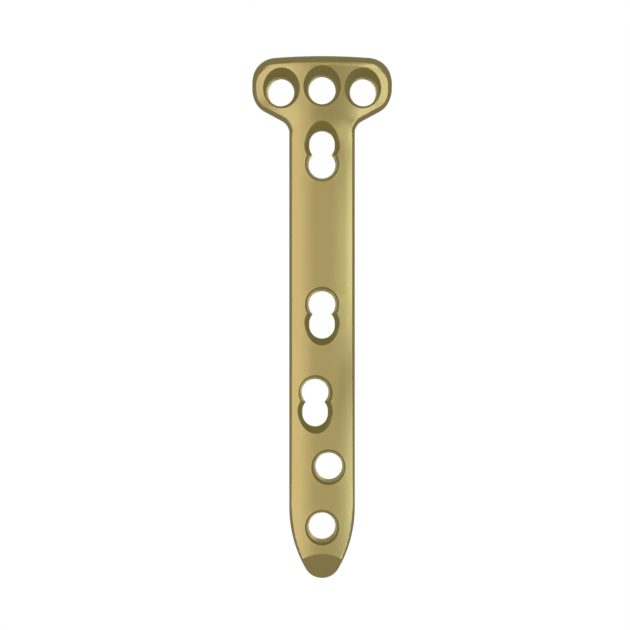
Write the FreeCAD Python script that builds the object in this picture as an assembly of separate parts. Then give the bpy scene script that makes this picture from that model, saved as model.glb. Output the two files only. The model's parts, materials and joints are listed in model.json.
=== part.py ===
import FreeCAD, Part
import math
import os

# A small-fragment locking bone plate with a T-shaped head, machined from one piece of titanium
# alloy. All lengths are in millimetres and all angles in degrees. The plate lies on its back: X runs
# across it, Y from the bevelled tip to the head, and Z from the bone side up to the front. The
# origin is on the plane that it rests on, below the middle of its length.

Vector = FreeCAD.Vector
UP = Vector(0, 0, 1)

# Outline, seen from the front
plate_length = 87.27
shaft_width = 11.0
head_width = 23.4
neck_from_end = 11.08
flare_angle = 28.9
neck_radius = 2.35
shoulder_radius = 3.95
head_corner_radius = 4.4
head_end_bow_radius = 60.0
tip_side_radius = 20.1
tip_nose_radius = 3.05

# Section: a domed front over a back that is hollowed to sit on the bone
shaft_thickness = 3.0
head_thickness = 2.5
shaft_crown_radius = 17.4
head_crown_radius = 31.0
shaft_hollow_radius = 35.0
head_hollow_radius = 29.0
shaft_edge_radius = 0.65
head_edge_radius = 1.1
back_edge_break = 0.3

# The straight head is bent up from the shaft, away from the bone, round this radius at its front,
# and the section changes along the neck
bend_from_end = 14.55
bend_radius = 17.5
bend_angle = 20.0
change_before_bend = 1.0
change_length = 9.0

# Bevel across the front of the tip
bevel_length = 4.25
bevel_angle = 19.0

# Locking holes: a countersink, a taper where the thread starts, and a straight core at its crests
core_radius = 2.26
ring_radius = 2.6
countersink_angle = 25.0
shaft_rim_radius = 2.98
head_rim_radius = 3.15
shaft_taper_length = 1.35
head_taper_length = 0.3

# Compression halves: a ball seat for the screw's head, a ramp up from it and a slot through
seat_radius = 3.0
seat_from_lock = 3.08
ramp_angle = 53.0
slot_half_width = 2.14
slot_travel = 0.49

# Places of the holes: in the head and the first one from the head's end, the others from the tip
centre_hole_from_end = 5.67
side_hole_from_end = 5.9
side_hole_offset = 7.01
side_hole_splay = 4.2
first_hole_from_end = 17.81
second_hole_from_tip = 45.93
third_hole_from_tip = 31.16
fourth_hole_from_tip = 18.74
last_hole_from_tip = 8.65
third_hole_offset = -1.17
fourth_hole_offset = 1.15

# How far the cutting shapes stand out, and the rows of points that a broad face passes through
spare = 1.5
overrun = 4.5
reach = 12.0
rows_along = 40
rows_across = 6

head_end = plate_length / 2
tip_end = -plate_length / 2


def sag(radius, half_width):
    """How far an arc of this radius falls away at this distance from its crown."""
    return radius - math.sqrt(radius ** 2 - half_width ** 2)


shaft_front = sag(shaft_hollow_radius, shaft_width / 2) + shaft_thickness
back_bend_radius = bend_radius + head_thickness
bend_start = head_end - bend_from_end
bend_centre = Vector(0, bend_start, shaft_front + bend_radius)

bend_turn = math.radians(bend_angle)
head_tangent = Vector(0, math.cos(bend_turn), math.sin(bend_turn))
head_normal = Vector(0, -math.sin(bend_turn), math.cos(bend_turn))
straight_start = bend_radius * bend_turn
straight_length = (bend_from_end - back_bend_radius * math.sin(bend_turn)) / math.cos(bend_turn)


def ease(value, start, length):
    """0 before start, 1 after start + length, and a smooth change between them."""
    share = min(max((value - start) / length, 0.0), 1.0)
    return share * share * (3 - 2 * share)


def mix(first, second, share):
    return first + (second - first) * share


def mirrored(point):
    return Vector(-point.x, point.y, point.z)


def path_point(distance, across, depth):
    """Point at this distance past the bend's start, along the front, and this depth below it."""
    along_shaft = min(distance, 0.0)
    angle = min(max(distance / bend_radius, 0.0), bend_turn)
    along_head = max(distance - straight_start, 0.0)
    radius = bend_radius + depth
    on_bend = Vector(across, radius * math.sin(angle), -radius * math.cos(angle))
    return bend_centre + on_bend + Vector(0, along_shaft, 0) + head_tangent * along_head


def front_point(distance, across):
    share = ease(distance, -change_before_bend, change_length)
    crown = 1 / mix(1 / shaft_crown_radius, 1 / head_crown_radius, share)
    return path_point(distance, across, sag(crown, across))


def back_point(distance, across):
    share = ease(distance, -change_before_bend, change_length)
    thickness = mix(shaft_thickness, head_thickness, share)
    hollow = 1 / mix(1 / shaft_hollow_radius, 1 / head_hollow_radius, share)
    return path_point(distance, across, thickness + sag(hollow, across))


def broad_face(point):
    """Smooth face along the whole plate, through the points that the function gives."""
    start = tip_end - overrun - bend_start
    stop = straight_start + straight_length + overrun
    half = head_width / 2 + spare
    rows = []
    for along in range(rows_along + 1):
        distance = mix(start, stop, along / rows_along)
        sides = [mix(-half, half, step / rows_across) for step in range(rows_across + 1)]
        rows.append([point(distance, across) for across in sides])
    surface = Part.BSplineSurface()
    surface.interpolate(rows)
    return surface.toShape()


def mill_broad_faces(body):
    """Takes away what lies above the domed front and below the hollowed back."""
    above = broad_face(front_point).extrude(UP * 2 * reach)
    below = broad_face(back_point).extrude(UP * -2 * reach)
    return body.cut(above).cut(below)


def upright_edges(shape, across, along):
    """The shape's upright edges at these distances, on both sides of the plate's middle plane."""
    found = []
    for edge in shape.Edges:
        middle = edge.CenterOfMass
        off = math.hypot(abs(middle.x) - across, middle.y - along)
        upright = abs(edge.tangentAt(edge.FirstParameter).z) > 0.99
        if upright and off < 0.01:
            found.append(edge)
    return found


def outline_prism():
    """Upright block with the plate's outline, apart from the head's end, which is cut later."""
    half_shaft = shaft_width / 2
    half_head = head_width / 2
    neck = head_end - neck_from_end
    shoulder = neck + (half_head - half_shaft) * math.tan(math.radians(flare_angle))
    far = head_end + reach

    nose_centre = Vector(0, tip_end + tip_nose_radius, 0)
    side_across = half_shaft - tip_side_radius
    drop = math.sqrt((tip_side_radius - tip_nose_radius) ** 2 - side_across ** 2)
    side_centre = Vector(side_across, nose_centre.y + drop, 0)
    outward = (nose_centre - side_centre).normalize()
    tangent_point = nose_centre + outward * tip_nose_radius
    to_side = (outward + Vector(1, 0, 0)).normalize()
    side_middle = side_centre + to_side * tip_side_radius
    side_top = Vector(half_shaft, side_centre.y, 0)

    nose = Part.Arc(mirrored(tangent_point), Vector(0, tip_end, 0), tangent_point)
    right = Part.Arc(tangent_point, side_middle, side_top)
    left = Part.Arc(mirrored(side_top), mirrored(side_middle), mirrored(tangent_point))
    corners = [
        side_top,
        Vector(half_shaft, neck, 0),
        Vector(half_head, shoulder, 0),
        Vector(half_head, far, 0),
    ]
    around = corners + [mirrored(point) for point in reversed(corners)]
    lines = [Part.makeLine(start, end) for start, end in zip(around, around[1:])]
    wire = Part.Wire([nose.toShape(), right.toShape()] + lines + [left.toShape()])
    wire.translate(Vector(0, 0, -reach))
    prism = Part.Face(wire).extrude(UP * 3 * reach)
    prism = prism.makeFillet(neck_radius, upright_edges(prism, half_shaft, neck))
    return prism.makeFillet(shoulder_radius, upright_edges(prism, half_head, shoulder))


def head_end_prism():
    """Block that ends the bent head square to its own surface, a little bowed, with round corners."""
    half_head = head_width / 2
    corner = Vector(half_head, -sag(head_end_bow_radius, half_head), 0)
    far = Vector(half_head, -plate_length - reach, 0)
    bow = Part.Arc(mirrored(corner), Vector(), corner)
    around = [corner, far, mirrored(far), mirrored(corner)]
    lines = [Part.makeLine(start, end) for start, end in zip(around, around[1:])]
    wire = Part.Wire([bow.toShape()] + lines)
    wire.translate(Vector(0, 0, -overrun))
    prism = Part.Face(wire).extrude(UP * (plate_length + reach))
    prism = prism.makeFillet(head_corner_radius, upright_edges(prism, half_head, corner.y))

    prism.rotate(Vector(), Vector(1, 0, 0), bend_angle)
    prism.translate(bend_centre - head_normal * back_bend_radius + head_tangent * straight_length)
    return prism


def rim_edges(half, up):
    """The outer edges of the broad front face of half a body, or of its broad back face."""
    wide = [face for face in half.Faces if face.BoundBox.XLength > shaft_width / 4]
    broad = sorted(wide, key=lambda face: face.Area)[-2:]
    chosen = max(broad, key=lambda face: face.CenterOfMass.z * up)
    return [edge for edge in chosen.Edges if edge.CenterOfMass.x > 0.01]


def round_front_rim(half):
    """Rounds the rim of the front, with a radius that grows from the shaft's to the head's."""
    document = FreeCAD.newDocument("rim")
    blank = document.addObject("Part::Feature", "blank")
    blank.Shape = half
    rim = rim_edges(blank.Shape, 1)
    neck = head_end - neck_from_end
    shaft_radius = min(shaft_edge_radius, shaft_thickness / 2)
    head_radius = min(head_edge_radius, head_thickness / 2)
    radii = []
    for number, edge in enumerate(blank.Shape.Edges, start=1):
        if any(edge.isSame(other) for other in rim):
            ends = [head_radius if vertex.Point.y > neck else shaft_radius for vertex in edge.Vertexes]
            radii.append((number, ends[0], ends[1]))
    rounded = document.addObject("Part::Fillet", "rounded")
    rounded.Base = blank
    rounded.Edges = radii
    document.recompute()
    return rounded.Shape


def ease_edges(body):
    """Rounds the rim of the front and breaks that of the back, on one half that is then mirrored."""
    thinnest = min(shaft_thickness, head_thickness)
    right_side = Part.makeBox(head_width, 2 * plate_length, 4 * reach)
    right_side.translate(Vector(0, -plate_length, -2 * reach))
    half = round_front_rim(body.common(right_side))
    half = half.makeChamfer(min(back_edge_break, thinnest / 5), rim_edges(half, -1))
    return half.fuse(half.mirror(Vector(), Vector(1, 0, 0)))


def cut_tip_bevel(body):
    """Planes the front of the tip down towards the nose."""
    block = Part.makeBox(shaft_width + 2 * spare, 2 * reach, reach)
    block.translate(Vector(-shaft_width / 2 - spare, -2 * reach, 0))
    block.rotate(Vector(), Vector(1, 0, 0), bevel_angle)
    block.translate(Vector(0, tip_end + bevel_length, shaft_front))
    return body.cut(block)


def turned(profile):
    """Solid of revolution about Z from points of radius and height."""
    points = [Vector(0, 0, profile[0][1])]
    points += [Vector(radius, 0, height) for radius, height in profile]
    points += [Vector(0, 0, profile[-1][1]), points[0]]
    face = Part.Face(Part.makePolygon(points))
    return face.revolve(Vector(), UP, 360)


def locking_cutter(rim_radius, taper_length):
    """Countersink, taper and core, with its height 0 where the rim meets the front."""
    slope = math.tan(math.radians(countersink_angle))
    sink = (rim_radius - ring_radius) / slope
    return turned([
        (rim_radius + reach / 2 * slope, reach / 2),
        (ring_radius, -sink),
        (core_radius, -sink - taper_length),
        (core_radius, -reach),
    ])


def ramp_cutter():
    """Ball-ended cutter, sunk at a slant into the seat, with the locking half's axis at the origin."""
    foot = Vector(0, 0, -seat_radius)
    side = Vector(seat_radius, 0, 0)
    quarter = Vector(seat_radius, 0, -seat_radius) * math.sqrt(0.5)
    outline = Part.Wire([
        Part.Arc(foot, quarter, side).toShape(),
        Part.makeLine(side, side + UP * reach),
        Part.makeLine(side + UP * reach, UP * reach),
        Part.makeLine(UP * reach, foot),
    ])
    cutter = Part.Face(outline).revolve(Vector(), UP, 360)
    cutter.rotate(Vector(), Vector(1, 0, 0), ramp_angle - 90)
    cutter.translate(Vector(0, seat_from_lock, 0))
    return cutter


def slot_cutter():
    """Upright slot through the seat, a little longer than it is wide."""
    near = seat_from_lock
    far = seat_from_lock + slot_travel
    left_near = Vector(-slot_half_width, near, 0)
    left_far = Vector(-slot_half_width, far, 0)
    near_end = Part.Arc(left_near, Vector(0, near - slot_half_width, 0), mirrored(left_near))
    far_end = Part.Arc(mirrored(left_far), Vector(0, far + slot_half_width, 0), left_far)
    outline = Part.Wire([
        near_end.toShape(),
        Part.makeLine(mirrored(left_near), mirrored(left_far)),
        far_end.toShape(),
        Part.makeLine(left_far, left_near),
    ])
    return Part.Face(outline).extrude(UP * -reach)


def shaft_front_height(across):
    """Height of the shaft's front at this distance from its middle plane."""
    return shaft_front - sag(shaft_crown_radius, across)


def head_front_height(across, along):
    """Height of the head's straight front at this place."""
    radius = bend_radius + sag(head_crown_radius, across)
    past_bend = along - bend_start - radius * math.sin(bend_turn)
    return bend_centre.z - radius * math.cos(bend_turn) + past_bend * math.tan(bend_turn)


def head_holes():
    cutters = []
    places = [
        (-side_hole_offset, side_hole_from_end, -side_hole_splay),
        (0, centre_hole_from_end, 0),
        (side_hole_offset, side_hole_from_end, side_hole_splay),
    ]
    for across, from_end, splay in places:
        along = head_end - from_end
        cutter = locking_cutter(head_rim_radius, head_taper_length)
        cutter.rotate(Vector(), Vector(0, 1, 0), splay)
        cutter.translate(Vector(across, along, head_front_height(across, along)))
        cutters.append(cutter)
    return cutters


def shaft_holes():
    """Three combination holes, whose first one faces the head, and two plain locking holes."""
    cutters = []
    places = [
        (0, head_end - first_hole_from_end, 1),
        (0, tip_end + second_hole_from_tip, -1),
        (third_hole_offset, tip_end + third_hole_from_tip, -1),
        (fourth_hole_offset, tip_end + fourth_hole_from_tip, 0),
        (0, tip_end + last_hole_from_tip, 0),
    ]
    for across, along, facing in places:
        tools = [locking_cutter(shaft_rim_radius, shaft_taper_length)]
        if facing:
            tools += [ramp_cutter(), slot_cutter()]
        for tool in tools:
            tool.rotate(Vector(), UP, 180 if facing < 0 else 0)
            tool.translate(Vector(across, along, shaft_front_height(across)))
        cutters += tools
    return cutters


def bone_plate():
    body = mill_broad_faces(outline_prism().common(head_end_prism()))
    body = ease_edges(body)
    body = cut_tip_bevel(body)
    body = body.cut(head_holes() + shaft_holes())
    plate = body.Solids[0]
    box = plate.optimalBoundingBox()
    plate.translate(Vector(0, -box.Center.y, -box.ZMin))
    return plate


os.makedirs("parts", exist_ok=True)
plate = bone_plate()
plate.exportStep("parts/bone_plate.step")
box = plate.optimalBoundingBox()
print("bone_plate: %d faces, volume %.1f mm3, valid %s" % (len(plate.Faces), plate.Volume, plate.isValid()))
print("X %.3f to %.3f, Y %.3f to %.3f, Z %.3f to %.3f" % (
    box.XMin, box.XMax, box.YMin, box.YMax, box.ZMin, box.ZMax))
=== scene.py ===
import json
import math
import bpy
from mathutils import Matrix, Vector


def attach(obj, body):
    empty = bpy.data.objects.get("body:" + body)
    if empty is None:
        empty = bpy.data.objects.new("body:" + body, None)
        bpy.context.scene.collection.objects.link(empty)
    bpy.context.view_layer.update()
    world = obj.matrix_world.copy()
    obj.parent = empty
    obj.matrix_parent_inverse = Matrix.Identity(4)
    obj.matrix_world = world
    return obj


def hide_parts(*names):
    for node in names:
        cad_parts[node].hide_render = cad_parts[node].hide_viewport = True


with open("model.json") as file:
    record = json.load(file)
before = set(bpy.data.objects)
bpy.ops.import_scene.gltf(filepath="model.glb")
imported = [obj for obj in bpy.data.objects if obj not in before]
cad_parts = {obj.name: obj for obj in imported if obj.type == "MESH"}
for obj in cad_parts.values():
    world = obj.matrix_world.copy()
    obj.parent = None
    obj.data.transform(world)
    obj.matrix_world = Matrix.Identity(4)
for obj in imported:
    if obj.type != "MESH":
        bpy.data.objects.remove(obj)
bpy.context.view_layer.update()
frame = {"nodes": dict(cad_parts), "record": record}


# The camera looks straight down at the plate's front from 27 cm, as the photograph does. The head is
# at the top of the picture, and the middle of the picture lies a little left of the plate's middle.
PICTURE_SIDE = 630
PIXEL_ON_PLATE = 0.1675e-3
CAMERA_DISTANCE = 1615 * PIXEL_ON_PLATE
FRONT_LEVEL = 2.8e-3
PICTURE_MIDDLE = (-1.1825e-3, 0.599e-3)
SENSOR_WIDTH = 36.0
CLIP_START = 0.01
camera_data = bpy.data.cameras.new("camera")
camera_data.sensor_width = SENSOR_WIDTH
camera_data.lens = SENSOR_WIDTH * CAMERA_DISTANCE / (PICTURE_SIDE * PIXEL_ON_PLATE)
camera_data.clip_start = CLIP_START
camera = bpy.data.objects.new("camera", camera_data)
camera.location = (*PICTURE_MIDDLE, FRONT_LEVEL + CAMERA_DISTANCE)
bpy.context.scene.collection.objects.link(camera)
bpy.context.scene.camera = camera
bpy.context.scene.view_settings.view_transform = "Standard"


# The locking plate is one piece of titanium alloy, milled all over and anodised gold. It has no
# joints or fixings of its own. It is carried over from the CAD solid as a merged copy, and the
# threads of its eight locking holes are then tapped into it.
MERGE_DISTANCE = 1e-6
bpy.ops.object.select_all(action="DESELECT")
cad_plate = frame["nodes"]["bone_plate"]
cad_plate.select_set(True)
bpy.context.view_layer.objects.active = cad_plate
bpy.ops.object.duplicate()
plate = bpy.context.object
plate.name = "locking_plate"
bpy.ops.object.mode_set(mode="EDIT")
bpy.ops.mesh.select_all(action="SELECT")
bpy.ops.mesh.remove_doubles(threshold=MERGE_DISTANCE, use_sharp_edge_from_normals=True)
bpy.ops.object.mode_set(mode="OBJECT")

# A second copy keeps the shading of the milled faces, and the plate loses its own for now.
bpy.ops.object.duplicate()
milled_plate = bpy.context.object
bpy.context.view_layer.objects.active = plate
bpy.ops.mesh.customdata_custom_splitnormals_clear()

# The thread is a fine V groove that runs down from the ring where the countersink ends. In the shaft
# it follows the hole's taper, and in the head it is straight. The ring's height is above the place
# that the record gives for the hole.
THREAD_PITCH = 0.5e-3
THREAD_TURNS = 6
STEPS_PER_TURN = 48
GROOVE_DEPTH = 0.45e-3
GROOVE_HALF_WIDTH = 0.24e-3
THREADS = {
    "shaft": {"root_radius": 2.72e-3, "foot_ratio": 0.84, "ring_height": 1.77e-3},
    "head": {"root_radius": 2.45e-3, "foot_ratio": 1.0, "ring_height": 0.83e-3},
}


def add_thread_tap(name, root_radius, foot_ratio):
    """A tap: one V-shaped thread round Z that starts at the origin and goes down."""
    bpy.ops.mesh.primitive_circle_add(vertices=3, radius=GROOVE_DEPTH)
    tap = bpy.context.object
    tap.name = name
    crest_radius = root_radius - GROOVE_DEPTH
    corners = [
        (root_radius, 0, 0),
        (crest_radius, 0, GROOVE_HALF_WIDTH),
        (crest_radius, 0, -GROOVE_HALF_WIDTH),
    ]
    for vertex, corner in zip(tap.data.vertices, corners):
        vertex.co = corner
    screw = tap.modifiers.new("screw", "SCREW")
    screw.axis = "Z"
    screw.angle = 2 * math.pi
    screw.screw_offset = -THREAD_PITCH
    screw.iterations = THREAD_TURNS
    screw.steps = STEPS_PER_TURN
    screw.render_steps = STEPS_PER_TURN
    bpy.ops.object.modifier_apply(modifier=screw.name)
    bpy.ops.object.mode_set(mode="EDIT")
    bpy.ops.mesh.select_all(action="SELECT")
    bpy.ops.mesh.fill_holes(sides=len(corners))
    bpy.ops.mesh.select_all(action="SELECT")
    bpy.ops.mesh.normals_make_consistent(inside=False)
    bpy.ops.object.mode_set(mode="OBJECT")
    if foot_ratio < 1:
        taper = tap.modifiers.new("taper", "SIMPLE_DEFORM")
        taper.deform_method = "TAPER"
        taper.deform_axis = "Z"
        taper.factor = 1 - foot_ratio
        bpy.ops.object.modifier_apply(modifier=taper.name)
    return tap


def tap_hole(tap, hole, ring_height):
    """Cuts the tap's thread into the plate at a hole, from its ring down."""
    axis = Vector(hole["axis"])
    tap.rotation_mode = "QUATERNION"
    tap.rotation_quaternion = Vector((0, 0, 1)).rotation_difference(axis)
    tap.location = Vector(hole["pos_m"]) + ring_height * axis
    cut = plate.modifiers.new("thread", "BOOLEAN")
    cut.operation = "DIFFERENCE"
    cut.solver = "EXACT"
    cut.object = tap
    bpy.ops.object.select_all(action="DESELECT")
    plate.select_set(True)
    bpy.context.view_layer.objects.active = plate
    bpy.ops.object.modifier_apply(modifier=cut.name)


holes = frame["record"]["mounts"]
locking_holes = {
    part: [hole for hole in holes if hole["name"].startswith(part)] for part in THREADS}
for part, thread in THREADS.items():
    tap = add_thread_tap(part + "_tap", thread["root_radius"], thread["foot_ratio"])
    for hole in locking_holes[part]:
        tap_hole(tap, hole, thread["ring_height"])
    bpy.data.objects.remove(tap)

# The milled faces get back the CAD solid's shading, with its crisp rounded rims. Only the vertices
# below the rings and near the holes' axes are the threads', and they keep shading of their own.
SMOOTH_ANGLE = math.radians(25)
THREAD_ZONE_RADIUS = 2.9e-3
BELOW_RING = 0.05e-3
bpy.ops.object.shade_smooth_by_angle(angle=SMOOTH_ANGLE)
threaded = set()
for part, thread in THREADS.items():
    for hole in locking_holes[part]:
        axis = Vector(hole["axis"])
        for vertex in plate.data.vertices:
            offset = vertex.co - Vector(hole["pos_m"])
            height = offset.dot(axis)
            from_axis = (offset - axis * height).length
            if height < thread["ring_height"] - BELOW_RING and from_axis < THREAD_ZONE_RADIUS:
                threaded.add(vertex.index)
milled = plate.vertex_groups.new(name="milled")
milled_vertices = [v.index for v in plate.data.vertices if v.index not in threaded]
milled.add(milled_vertices, 1.0, "REPLACE")
shading = plate.modifiers.new("shading", "DATA_TRANSFER")
shading.object = milled_plate
shading.use_loop_data = True
shading.data_types_loops = {"CUSTOM_NORMAL"}
shading.loop_mapping = "NEAREST_POLYNOR"
shading.vertex_group = milled.name
bpy.ops.object.modifier_apply(modifier=shading.name)
plate.vertex_groups.clear()
bpy.data.objects.remove(milled_plate)

# The walls of the holes are marked for their rougher finish and for a painted shade and reflection
# tint. A wall is a steep face near a hole's axis, and the region is stretched along the plate for the
# slots and for the head's sloping countersinks.
# region is stretched along the plate for the slots and for the head's sloping countersinks.
WALL_RADIUS = 3.35e-3
FLATTEST_WALL = 0.82
WALL_STRETCH = {"slot": (-0.4e-3, 0.4e-3), "head": (0.0, 1.2e-3), "shaft": (0.0, 0.0)}
wall_mark = plate.data.attributes.new("hole_wall", "FLOAT", "FACE")
for hole in holes:
    axis = Vector(hole["axis"])
    low, high = next(
        stretch for part, stretch in WALL_STRETCH.items() if part in hole["name"].split("_"))
    for face in plate.data.polygons:
        offset = face.center - Vector(hole["pos_m"])
        offset.y -= max(low, min(high, offset.y))
        from_axis = (offset - axis * offset.dot(axis)).length
        if from_axis < WALL_RADIUS and abs(face.normal.dot(axis)) < FLATTEST_WALL:
            wall_mark.data[face.index].value = 1.0


def linear(code):
    """Linear colour from an sRGB hex code."""
    parts = [int(code[i:i + 2], 16) / 255 for i in (0, 2, 4)]
    return [p / 12.92 if p <= 0.04045 else ((p + 0.055) / 1.055) ** 2.4 for p in parts] + [1.0]


def add_node(tree, kind, inputs=(), **settings):
    """A node with its settings, and its inputs as values or links."""
    node = tree.nodes.new(kind)
    for name, value in settings.items():
        setattr(node, name, value)
    for name, value in dict(inputs).items():
        if isinstance(value, bpy.types.NodeSocket):
            tree.links.new(value, node.inputs[name])
        else:
            node.inputs[name].default_value = value
    return node


# The finish is anodised titanium alloy, tumbled and brushed before its oxide was grown. Brushing
# leaves fine lines along the plate, tumbling leaves a soft satin grain, and the oxide's thickness
# shifts its gold a little from patch to patch. Lines and grain are drawn about three times as
# coarse as they are, so that they show at all.
LINE_WIDTH = 0.25e-3
LINE_LENGTH = 9e-3
GRAIN_SIZE = 0.3e-3
RELIEF_HEIGHT = 1.6e-6
OXIDE_PATCH = 11e-3
NOISE_LOW, NOISE_HIGH = 0.3, 0.7
SMOOTHEST, ROUGHEST = 0.19, 0.24
PALE_GOLD = "E7CF89"
DEEP_GOLD = "E3CC80"
GRAZING_TINT = "EEFCF3"
# In the holes the cutter's marks are left rougher, and the walls get a duller, greener gold that is
# painted shade and reflection.
WALL_SHADE_AND_REFLECTION_TINT = "DBCB8B"
CUTTER_ROUGHNESS = 0.22
# The sockets of a colour mix, which share their names with its other kinds of mix.
MIX_SHARE, MIX_FIRST, MIX_SECOND, MIX_RESULT = 0, 6, 7, 2
titanium = bpy.data.materials.new("anodised_titanium")
titanium.use_nodes = True
tree = titanium.node_tree
tree.nodes.clear()
place = add_node(tree, "ShaderNodeTexCoord").outputs["Object"]
stretched = add_node(tree, "ShaderNodeMapping", {
    "Vector": place, "Scale": (1 / LINE_WIDTH, 1 / LINE_LENGTH, 1 / LINE_WIDTH)})
lines = add_node(tree, "ShaderNodeTexNoise", {
    "Vector": stretched.outputs["Vector"], "Scale": 1.0, "Detail": 2.0})
grain = add_node(tree, "ShaderNodeTexNoise", {
    "Vector": place, "Scale": 1 / GRAIN_SIZE, "Detail": 3.0})
patches = add_node(tree, "ShaderNodeTexNoise", {
    "Vector": place, "Scale": 1 / OXIDE_PATCH, "Detail": 1.0})
relief = add_node(tree, "ShaderNodeMath", {
    0: lines.outputs["Fac"], 1: grain.outputs["Fac"]}, operation="ADD")
bump = add_node(tree, "ShaderNodeBump", {
    "Height": relief.outputs["Value"], "Strength": 1.0, "Distance": RELIEF_HEIGHT})
brushed = add_node(tree, "ShaderNodeMapRange", {
    "Value": lines.outputs["Fac"], "From Min": NOISE_LOW, "From Max": NOISE_HIGH,
    "To Min": SMOOTHEST, "To Max": ROUGHEST})
wall = add_node(tree, "ShaderNodeAttribute", attribute_name=wall_mark.name)
roughness = add_node(tree, "ShaderNodeMath", {
    0: wall.outputs["Fac"], 1: CUTTER_ROUGHNESS, 2: brushed.outputs["Result"]},
    operation="MULTIPLY_ADD")
oxide = add_node(tree, "ShaderNodeMix", {
    MIX_SHARE: patches.outputs["Fac"], MIX_FIRST: linear(DEEP_GOLD),
    MIX_SECOND: linear(PALE_GOLD)}, data_type="RGBA")
# Painted shade and reflection: the hole walls' gold is mixed towards a duller, greener tint.
gold = add_node(tree, "ShaderNodeMix", {
    MIX_SHARE: wall.outputs["Fac"], MIX_FIRST: oxide.outputs[MIX_RESULT],
    MIX_SECOND: linear(WALL_SHADE_AND_REFLECTION_TINT)}, data_type="RGBA")
shader = add_node(tree, "ShaderNodeBsdfPrincipled", {
    "Base Color": gold.outputs[MIX_RESULT], "Metallic": 1.0,
    "Roughness": roughness.outputs["Value"], "Normal": bump.outputs["Normal"],
    "Specular Tint": linear(GRAZING_TINT)})
add_node(tree, "ShaderNodeOutputMaterial", {"Surface": shader.outputs["BSDF"]})
plate.data.materials.clear()
plate.data.materials.append(titanium)
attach(plate, "root")
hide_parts("bone_plate")


# The table is plain white and evenly lit from below, so it shows no shadow. A white dome stands
# behind it for the low views. Only the camera sees them.
TABLE_SIZE = 4
TABLE_LEVEL = -0.2e-3
DOME_RADIUS = 2
WHITE = "FFFFFF"
white = bpy.data.materials.new("white_table")
white.use_nodes = True
white.node_tree.nodes.clear()
glow = add_node(white.node_tree, "ShaderNodeEmission", {"Color": linear(WHITE), "Strength": 1.0})
add_node(white.node_tree, "ShaderNodeOutputMaterial", {"Surface": glow.outputs["Emission"]})
bpy.ops.mesh.primitive_plane_add(size=TABLE_SIZE, location=(0, 0, TABLE_LEVEL))
table = bpy.context.object
table.name = "table"
bpy.ops.mesh.primitive_uv_sphere_add(segments=32, ring_count=16, radius=DOME_RADIUS)
backdrop = bpy.context.object
backdrop.name = "backdrop"
for stage in (table, backdrop):
    stage.data.materials.append(white)
    stage.visible_glossy = False
    stage.visible_diffuse = False
    stage.visible_shadow = False


# Soft studio light: a dim room, a wide soft box overhead, brighter ones to the left and low lamps
# close on the right, in two groups with a dark gap between them. The boxes face down.
CEILING = 0.503
LOW_LAMP = 0.103
ROOM_LIGHT = 0.25
NEUTRAL = "FFFFFF"
SOFT_WHITE = "F9F7FF"
COOL_WHITE = "F9F5FF"
COOL = "E8EDFF"
PALE_BLUE = "ECFAFF"
BLUE = "DDEBFF"
SOFT_BOXES = [
    # name, height, edges across, edges along, radiance, colour
    ("overhead_far", CEILING, (-0.12, 0.17), (-0.13, 0.20), 0.25, NEUTRAL),
    ("overhead_near", CEILING, (-0.08, 0.17), (-0.42, -0.13), 0.12, NEUTRAL),
    ("left_inner", CEILING, (-0.20, -0.12), (-0.13, 0.22), 0.40, SOFT_WHITE),
    ("left_far", CEILING, (-0.56, -0.20), (-0.13, 0.22), 0.59, COOL_WHITE),
    ("left_inner_near", CEILING, (-0.17, -0.05), (-0.50, -0.13), 0.40, SOFT_WHITE),
    ("left_near", CEILING, (-0.56, -0.17), (-0.50, -0.13), 0.70, COOL),
    ("left_outer", CEILING, (-0.62, -0.36), (-0.52, -0.20), 0.90, COOL),
    ("left_edge", CEILING, (-0.56, -0.36), (-0.20, 0.22), 0.14, COOL_WHITE),
    ("right_inner_far", LOW_LAMP, (0.034, 0.062), (-0.0096, 0.032), 0.42, PALE_BLUE),
    ("right_inner_beyond", LOW_LAMP, (0.039, 0.062), (0.034, 0.106), 0.22, PALE_BLUE),
    ("right_far", LOW_LAMP, (0.062, 0.120), (-0.0062, 0.034), 1.20, BLUE),
    ("right_beyond", LOW_LAMP, (0.062, 0.120), (0.034, 0.106), 0.72, BLUE),
    ("right_inner_near", LOW_LAMP, (0.037, 0.062), (-0.24, -0.0215), 0.34, PALE_BLUE),
    ("right_near", LOW_LAMP, (0.062, 0.120), (-0.24, -0.0215), 0.95, BLUE),
    ("right_outer", LOW_LAMP, (0.080, 0.140), (-0.09, -0.0190), 1.30, BLUE),
]


def add_light(name, place, size, radiance, colour):
    """A rectangle of light that faces down and that the camera doesn't see."""
    data = bpy.data.lights.new(name, "AREA")
    data.shape = "RECTANGLE"
    data.size, data.size_y = size
    data.energy = radiance * math.pi * data.size * data.size_y
    data.color = linear(colour)[:3]
    light = bpy.data.objects.new(name, data)
    light.location = place
    light.visible_camera = False
    bpy.context.scene.collection.objects.link(light)
    return light


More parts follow.
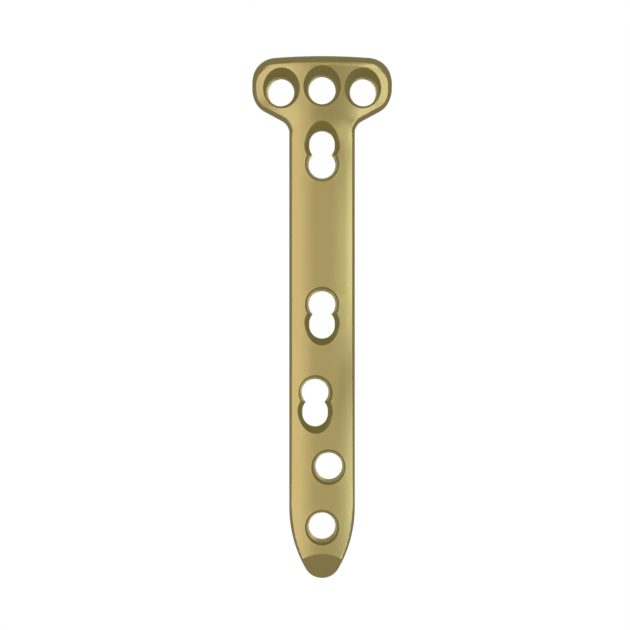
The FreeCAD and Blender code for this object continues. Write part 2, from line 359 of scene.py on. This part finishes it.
for name, height, across, along, radiance, colour in SOFT_BOXES:
    middle = (sum(across) / 2, sum(along) / 2, height)
    add_light(name, middle, (across[1] - across[0], along[1] - along[0]), radiance, colour)

world = bpy.data.worlds.new("studio")
bpy.context.scene.world = world
world.use_nodes = True
world.node_tree.nodes.clear()
room = add_node(world.node_tree, "ShaderNodeBackground", {
    "Color": linear(NEUTRAL), "Strength": ROOM_LIGHT})
add_node(world.node_tree, "ShaderNodeOutputWorld", {"Surface": room.outputs["Background"]})


# Under the plate lie dark sheets, each with a weak narrow light on it that faces up. Only the metal
# sees them: its holes mirror them in place of the bright table, as in the shade under a real plate.
SHADES = {
    "shaft": {"middle": (0, -0.004), "size": (0.0096, 0.070)},
    "head": {"middle": (0, 0.0385), "size": (0.0186, 0.007)},
}
SHEET_LEVEL = -0.15e-3
SHEET_COLOUR = "FFFFE7"
SHEET_RADIANCE = 0.22
UPLIGHT_LEVEL = -0.05e-3
UPLIGHT_COLOUR = "FFFFF9"
UPLIGHT_RADIANCE = 0.34
UPLIGHT_SPREAD = math.radians(76)
dark = bpy.data.materials.new("dark_backing")
dark.use_nodes = True
dark.node_tree.nodes.clear()
faint_glow = add_node(dark.node_tree, "ShaderNodeEmission", {
    "Color": linear(SHEET_COLOUR), "Strength": SHEET_RADIANCE})
add_node(dark.node_tree, "ShaderNodeOutputMaterial", {"Surface": faint_glow.outputs["Emission"]})
for part, shade in SHADES.items():
    bpy.ops.mesh.primitive_plane_add(size=1, location=(*shade["middle"], SHEET_LEVEL))
    sheet = bpy.context.object
    sheet.name = part + "_backing"
    sheet.scale = (*shade["size"], 1)
    bpy.ops.object.transform_apply(location=True, rotation=True, scale=True)
    sheet.data.materials.append(dark)
    sheet.visible_camera = False
    sheet.visible_diffuse = False
    sheet.visible_shadow = False
    uplight = add_light(
        part + "_below", (*shade["middle"], UPLIGHT_LEVEL), shade["size"],
        UPLIGHT_RADIANCE, UPLIGHT_COLOUR)
    uplight.data.spread = UPLIGHT_SPREAD
    uplight.rotation_euler = (math.pi, 0, 0)
